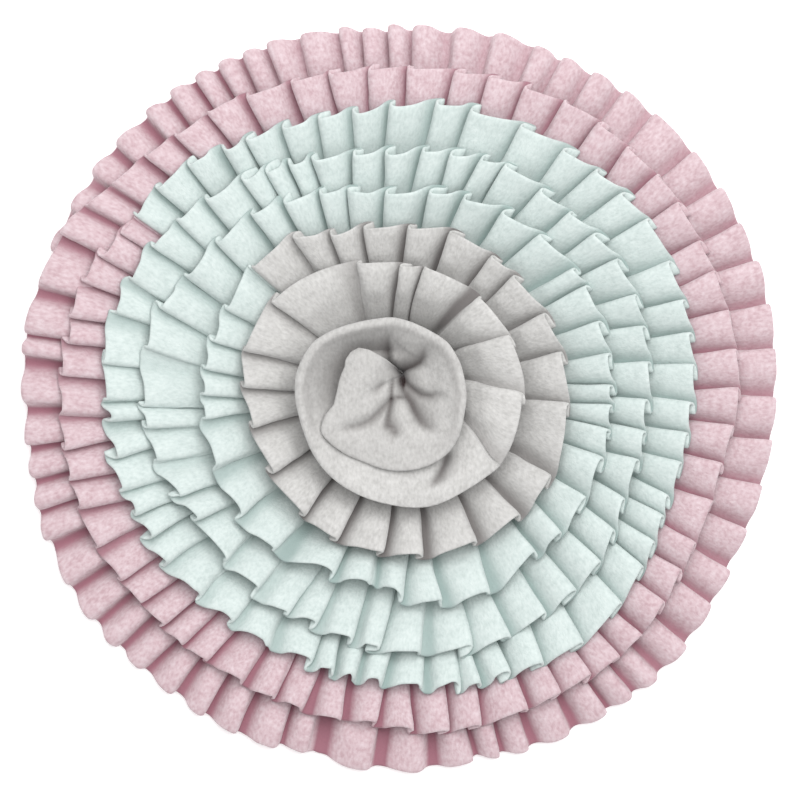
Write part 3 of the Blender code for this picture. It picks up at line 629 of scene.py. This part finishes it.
def undulation(place, rng_seed):
    """A slow rise and fall of the whole mat, the same for all the rows at one place (mm)."""
    rng = np.random.RandomState(rng_seed)
    total = np.zeros(place.shape[:-1])
    for wavelength, size in UNDULATIONS:
        for _ in range(3):
            heading, phase = rng.uniform(0.0, 2.0 * math.pi, 2)
            along = place[..., 0] * math.cos(heading) + place[..., 1] * math.sin(heading)
            total += size * np.sin(2.0 * math.pi * along / wavelength + phase)
    return total


def cloth_mesh(name, top, bottom, uv, shade):
    """A closed sheet between two grids of points, with a rounded edge; uv in metres on the cloth,
    shade the painted shade in the grooves and folds, from 0 to 1."""
    rows, columns = top.shape[:2]
    count = rows * columns
    index = np.arange(count).reshape(rows, columns)

    def quads(grid, flip):
        corners = [grid[:-1, :-1], grid[:-1, 1:], grid[1:, 1:], grid[1:, :-1]]
        if flip:
            corners.reverse()
        return np.stack(corners, axis=-1).reshape(-1, 4)

    rim = np.concatenate((index[0, :], index[1:, -1], index[-1, -2::-1], index[-2:0:-1, 0]))
    after = np.roll(rim, -1)
    middle = (top.reshape(-1, 3)[rim] + bottom.reshape(-1, 3)[rim]) / 2.0
    inner = np.concatenate((index[1, :], index[1:, -2], index[-2, -2::-1], index[-2:0:-1, 1]))
    away = unit(top.reshape(-1, 3)[rim] - top.reshape(-1, 3)[inner])
    edge = middle + away * FLEECE * LIP_REACH
    lip = 2 * count + np.arange(len(rim))
    lip_after = np.roll(lip, -1)
    faces = np.concatenate((
        quads(index, False), quads(index + count, True),
        np.stack((rim, lip, lip_after, after), axis=-1),
        np.stack((lip, rim + count, after + count, lip_after), axis=-1),
    ))
    points = np.concatenate((top.reshape(-1, 3), bottom.reshape(-1, 3), edge)) * MM
    flat = uv.reshape(-1, 2)
    flat = np.concatenate((flat, flat, flat[rim]))
    mesh = bpy.data.meshes.new(name)
    mesh.vertices.add(len(points))
    mesh.vertices.foreach_set("co", points.astype(np.float32).ravel())
    mesh.loops.add(faces.size)
    mesh.loops.foreach_set("vertex_index", faces.astype(np.int32).ravel())
    mesh.polygons.add(len(faces))
    mesh.polygons.foreach_set("loop_start", np.arange(0, faces.size, 4, dtype=np.int32))
    mesh.update(calc_edges=True)
    mesh.validate()
    layer = mesh.uv_layers.new(name="cloth")
    layer.data.foreach_set("uv", flat[faces.ravel()].astype(np.float32).ravel())
    # the depth attribute carries the painted shade to the fleece material
    depth = mesh.attributes.new("depth", "FLOAT", "POINT")
    shade = shade.ravel()
    depth.data.foreach_set("value", np.concatenate((shade, shade, shade[rim])).astype(np.float32))
    mesh.polygons.foreach_set("use_smooth", np.ones(len(mesh.polygons), dtype=bool))
    obj = bpy.data.objects.new(name, mesh)
    bpy.context.scene.collection.objects.link(obj)
    return obj


def pleated_strip(name, node, sections, material, seed, start_gap, end_gap, cupped=False):
    """One pleated strip of fleece, sewn down along its inner edge."""
    rng = np.random.RandomState(seed)
    crests = crest_clocks(sections)
    crests[0] += math.degrees(start_gap / sections[0].rim)
    crests[-1] -= math.degrees(end_gap / sections[-1].rim)
    levels = FINE_LEVELS if cupped else PLEATED_LEVELS
    last = crests[-1]
    if cupped:
        crests = crests[crests <= CUP_START]
    section = pleated_section(sections, crests, levels, rng)
    section[3] = np.minimum(section[3], 1.0)
    pleated_columns = section[0].shape[1]
    section[0] = np.clip(section[0], crests[0], last)
    section.append(np.zeros_like(section[0]))
    if cupped:
        smooth = smooth_section(sections, section, last, levels)
        section = [np.concatenate(pair, axis=1) for pair in zip(section, smooth)]
    clock, height, stick, shade, press = section
    level = np.broadcast_to(np.array(levels)[:, None], clock.shape)
    scale = Lean(sections, clock).mm_per_degree(level)
    if cupped:
        left = (clock[:, -1:] - clock) * scale
        height = height - END_CURL * (1.0 - smoothstep(0.0, END_CURL_ON, left)) * level
    half = FLEECE / 2.0 * (1.0 - (1.0 - EDGE_THICKNESS) * smoothstep(0.94, 1.0, level))
    faces = []
    for (along, up), least in zip(offset(clock, height, scale, half), (LOWEST + FLEECE, LOWEST)):
        side = Lean(sections, clock + along)
        place, outward, normal = side.frame(level)
        place = place + normal * (height + up)[..., None] + outward * stick[..., None]
        place[..., 2] += undulation(place, SEED) * smoothstep(0.0, 0.5, level) - press
        place[..., 2] = np.where(press > 0.0, np.maximum(place[..., 2], least), place[..., 2])
        faces.append(place)
    top, bottom = faces
    run = np.linalg.norm(np.diff((top + bottom) / 2.0, axis=1), axis=-1)
    run = np.concatenate((np.zeros((len(run), 1)), np.cumsum(run, axis=1)), axis=1)
    uv = np.stack((np.broadcast_to(run[-1], run.shape), level * STRIP_WIDTH), axis=-1) * MM
    uv[:, pleated_columns:] = top[:, pleated_columns:, :2] * MM
    piece = cloth_mesh(name, top, bottom, uv, shade)
    piece.data.materials.append(material)
    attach(piece, BODY)
    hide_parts(node)
    return piece


def ground_disc(material):
    """The round of plain cloth under the strips, a little uneven at its edge."""
    sides, rings = 180, 24
    angle = np.linspace(0.0, 2.0 * math.pi, sides, endpoint=False)
    share = (np.arange(1, rings + 1) / rings) ** 0.8
    wander = 1.0 + 0.004 * np.sin(5 * angle + 1.0) + 0.003 * np.sin(9 * angle + 2.0)
    radius = GROUND_RADIUS * share[:, None] * wander[None, :]
    x, y = radius * np.cos(angle), radius * np.sin(angle)
    bulge = 0.25 * np.sin(7 * angle)[None, :] * share[:, None] ** 2
    verts = [(0.0, 0.0, GROUND_FOOT), (0.0, 0.0, GROUND_THICKNESS)]
    low, high = [], []
    for ring in range(rings):
        at_edge = ring == rings - 1
        lift = GROUND_EDGE if at_edge else 0.0
        low.append(len(verts))
        verts += [(x[ring, i], y[ring, i], GROUND_FOOT + lift) for i in range(sides)]
        high.append(len(verts))
        verts += [(x[ring, i], y[ring, i], GROUND_THICKNESS - lift + min(bulge[ring, i], 0.0))
                  for i in range(sides)]
    faces = []
    for i in range(sides):
        j = (i + 1) % sides
        faces += [(0, low[0] + j, low[0] + i), (1, high[0] + i, high[0] + j)]
        for ring in range(rings - 1):
            a, b, c, d = low[ring], low[ring + 1], high[ring], high[ring + 1]
            faces += [(a + i, a + j, b + j, b + i), (c + i, d + i, d + j, c + j)]
        faces.append((low[-1] + i, low[-1] + j, high[-1] + j, high[-1] + i))
    mesh = bpy.data.meshes.new("ground_disc")
    mesh.from_pydata([(a * MM, b * MM, c * MM) for a, b, c in verts], [], faces)
    mesh.polygons.foreach_set("use_smooth", np.ones(len(mesh.polygons), dtype=bool))
    layer = mesh.uv_layers.new(name="cloth")
    corners = np.array([mesh.loops[i].vertex_index for i in range(len(mesh.loops))])
    flat = np.array([(a * MM, b * MM) for a, b, _ in verts])
    layer.data.foreach_set("uv", flat[corners].astype(np.float32).ravel())
    piece = bpy.data.objects.new("ground_disc", mesh)
    bpy.context.scene.collection.objects.link(piece)
    piece.data.materials.append(material)
    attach(piece, BODY)
    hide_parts("ground_cloth")
    return piece


def fleece(name, tone):
    """Short-pile fleece: soft mottled tone, painted shade deep in the folds, fine uneven pile and a
    velvety sheen."""
    material = bpy.data.materials.new(name)
    material.use_nodes = True
    nodes, links = material.node_tree.nodes, material.node_tree.links
    shader = nodes["Principled BSDF"]
    shader.inputs["Roughness"].default_value = 0.95
    shader.inputs["Specular IOR Level"].default_value = 0.1
    shader.inputs["Sheen Weight"].default_value = 0.35
    shader.inputs["Sheen Roughness"].default_value = 0.5
    uv = nodes.new("ShaderNodeUVMap")
    uv.uv_map = "cloth"

    def noise(scale, detail, stretch=(1.0, 1.0, 1.0)):
        mapping = nodes.new("ShaderNodeMapping")
        mapping.inputs["Scale"].default_value = stretch
        texture = nodes.new("ShaderNodeTexNoise")
        texture.inputs["Scale"].default_value = scale
        texture.inputs["Detail"].default_value = detail
        links.new(uv.outputs["UV"], mapping.inputs["Vector"])
        links.new(mapping.outputs["Vector"], texture.inputs["Vector"])
        return texture.outputs["Fac"]

    def mix_values(first, second, share):
        node = nodes.new("ShaderNodeMix")
        node.inputs["Factor"].default_value = share
        links.new(first, node.inputs["A"])
        links.new(second, node.inputs["B"])
        return node.outputs["Result"]

    mottle = mix_values(noise(650.0, 4.0, (1.0, 0.6, 1.0)), noise(140.0, 3.0), 0.35)
    ramp = nodes.new("ShaderNodeValToRGB")
    ramp.color_ramp.elements[0].position = 0.36
    ramp.color_ramp.elements[0].color = (*tone.dark, 1.0)
    ramp.color_ramp.elements[1].position = 0.66
    ramp.color_ramp.elements[1].color = (*tone.light, 1.0)
    middle = ramp.color_ramp.elements.new(0.5)
    middle.color = (*tone.base, 1.0)
    links.new(mottle, ramp.inputs["Fac"])
    # Painted shade: the depth attribute mixes the pile's tone towards the deep colour in grooves, folds,
    # the pit and the cup
    depth = nodes.new("ShaderNodeAttribute")
    depth.attribute_name = "depth"
    painted_shade_mix = nodes.new("ShaderNodeMix")
    painted_shade_mix.data_type = "RGBA"
    painted_shade_mix.clamp_factor = False
    links.new(depth.outputs["Fac"], painted_shade_mix.inputs["Factor"])
    links.new(ramp.outputs["Color"], painted_shade_mix.inputs[COLOUR_A])
    painted_shade_mix.inputs[COLOUR_B].default_value = (*tone.deep, 1.0)
    links.new(painted_shade_mix.outputs[COLOUR_RESULT], shader.inputs["Base Color"])
    pile = mix_values(noise(1500.0, 2.0, (1.0, 0.6, 1.0)), noise(420.0, 2.0), 0.45)
    bump = nodes.new("ShaderNodeBump")
    bump.inputs["Strength"].default_value = 0.55
    bump.inputs["Distance"].default_value = 0.0008
    links.new(pile, bump.inputs["Height"])
    links.new(bump.outputs["Normal"], shader.inputs["Normal"])
    return material


def area_light(name, place, target, size, power, colour):
    data = bpy.data.lights.new(name, "AREA")
    data.shape = "DISK"
    data.size = size
    data.energy = power
    data.color = colour
    light = bpy.data.objects.new(name, data)
    bpy.context.scene.collection.objects.link(light)
    light.location = place
    aim = np.array(target) - np.array(place)
    flat = math.hypot(aim[0], aim[1])
    light.rotation_euler = (math.atan2(flat, -aim[2]), 0.0, math.atan2(aim[1], aim[0]) - math.pi / 2.0)
    return light


def studio():
    """Pale floor, soft light from the upper right, an even white surround, and the camera."""
    world = bpy.data.worlds.new("surround")
    world.use_nodes = True
    background = world.node_tree.nodes["Background"]
    background.inputs["Color"].default_value = (1.0, 1.0, 1.0, 1.0)
    background.inputs["Strength"].default_value = SURROUND
    bpy.context.scene.world = world
    area_light("key", KEY_PLACE, (0.0, 0.0, 0.0), KEY_SIZE, KEY_POWER, KEY_COLOUR)

    mesh = bpy.data.meshes.new("floor")
    corners = ((-1, -1), (1, -1), (1, 1), (-1, 1))
    mesh.from_pydata([(FLOOR_HALF * x, FLOOR_HALF * y, 0.0) for x, y in corners], [], [(0, 1, 2, 3)])
    floor = bpy.data.objects.new("floor", mesh)
    bpy.context.scene.collection.objects.link(floor)
    material = bpy.data.materials.new("floor")
    material.use_nodes = True
    shader = material.node_tree.nodes["Principled BSDF"]
    shader.inputs["Base Color"].default_value = (FLOOR_TONE, FLOOR_TONE, FLOOR_TONE, 1.0)
    shader.inputs["Roughness"].default_value = 1.0
    shader.inputs["Specular IOR Level"].default_value = 0.0
    shader.inputs["Emission Color"].default_value = (1.0, 1.0, 1.0, 1.0)
    shader.inputs["Emission Strength"].default_value = FLOOR_GLOW
    mesh.materials.append(material)

    data = bpy.data.cameras.new("camera")
    data.sensor_width = SENSOR_WIDTH
    data.lens = SENSOR_WIDTH * (CAMERA_PLACE[2] - EDGE_HEIGHT) / VIEW_WIDTH
    camera = bpy.data.objects.new("camera", data)
    bpy.context.scene.collection.objects.link(camera)
    camera.location = CAMERA_PLACE
    bpy.context.scene.camera = camera
    bpy.context.scene.view_settings.view_transform = "Standard"


studio()
pink = fleece("pink_fleece", PINK)
mint = fleece("mint_fleece", MINT)
grey = fleece("grey_fleece", GREY)
ground_disc(grey)
pleated_strip("pink_ruffle", "pink_strip", PINK_SECTIONS, pink, SEED + 1, 0.0, END_GAP)
pleated_strip("mint_ruffle", "mint_strip", MINT_SECTIONS, mint, SEED + 2, END_GAP, END_GAP)
pleated_strip("grey_ruffle", "grey_strip", GREY_SECTIONS, grey, SEED + 3, END_GAP, 0.0,
              cupped=True)
